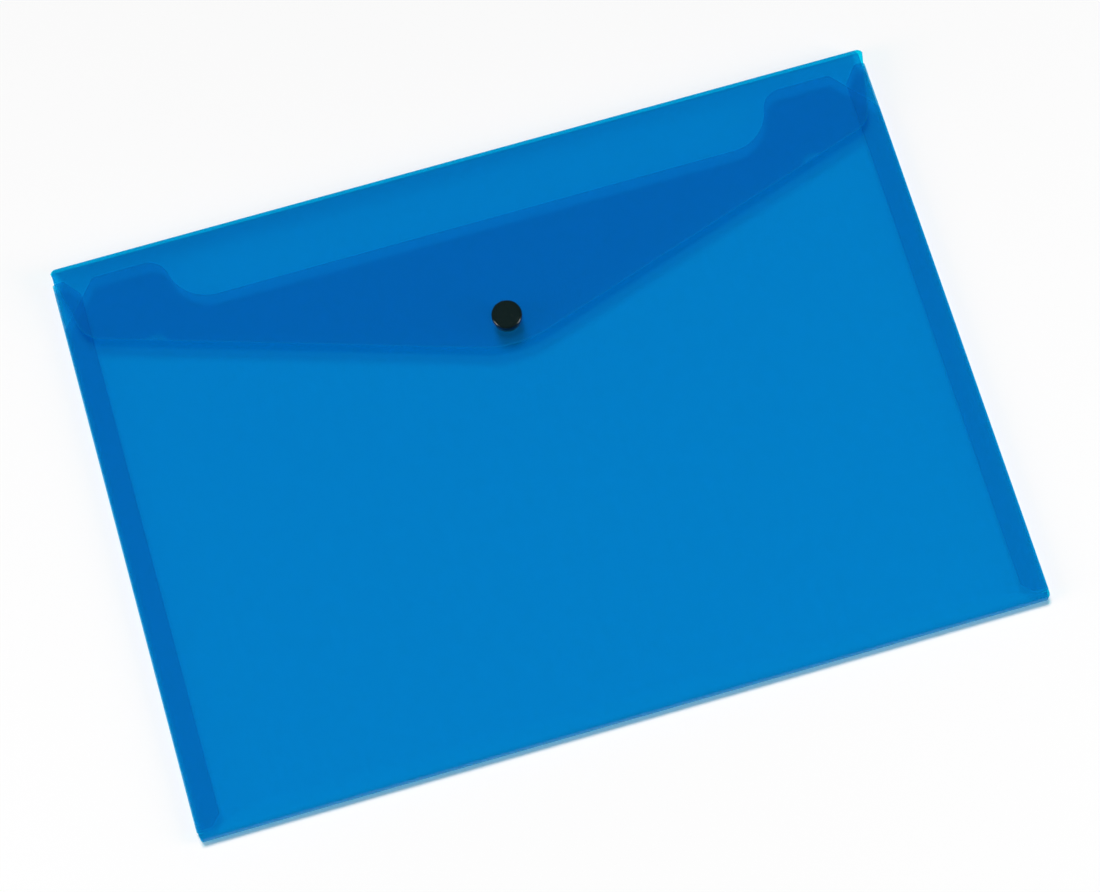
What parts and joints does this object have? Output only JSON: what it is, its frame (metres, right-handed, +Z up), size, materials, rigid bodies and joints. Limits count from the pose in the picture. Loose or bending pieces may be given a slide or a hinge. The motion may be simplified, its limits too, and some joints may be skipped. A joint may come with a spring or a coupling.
{
  "type": "document wallet",
  "caption": "Flat translucent plastic wallet for A4 papers: a pocket folded from one sheet, closed by a creased V-shaped flap with a round press stud.",
  "frame": {"origin": "centre of the back face, on the surface that the wallet lies on", "axes": "+X to the right along the long side, +Y to the spine that the flap hangs from, +Z up from the back to the flap"},
  "size_m": [0.335, 0.24, 0.0115],
  "materials": {
    "sheet": "translucent blue polypropylene sheet, smooth with a soft gloss",
    "press_stud": "black moulded plastic, satin"
  },
  "bodies": {
    "pocket": {"back_panel": "sheet", "bottom_fold": "sheet", "front_panel": "sheet", "left_side_fold": "sheet", "right_side_fold": "sheet", "left_weld_flap": "sheet", "right_weld_flap": "sheet", "lower_crease": "sheet", "snap_stud": "press_stud", "snap_post": "press_stud"},
    "spine": {"spine": "sheet", "upper_crease": "sheet"},
    "flap": {"closure_flap": "sheet", "snap_cap": "press_stud", "snap_socket": "press_stud"}
  },
  "joints": [
    {"name": "spine_hinge", "type": "hinge", "parent": "pocket", "child": "spine", "pos_m": [0, 0.1184, 0.0016], "axis": [-1, 0, 0], "range_deg": [0, 112], "deforming": ["lower_crease"]},
    {"name": "flap_hinge", "type": "hinge", "parent": "spine", "child": "flap", "pos_m": [0, 0.11564, 0.0081], "axis": [-1, 0, 0], "range_deg": [0, 66], "deforming": ["upper_crease"]}
  ],
  "couplings": [
    {"joint": "flap_hinge", "follows": "spine_hinge", "ratio": 0.58929}
  ]
}
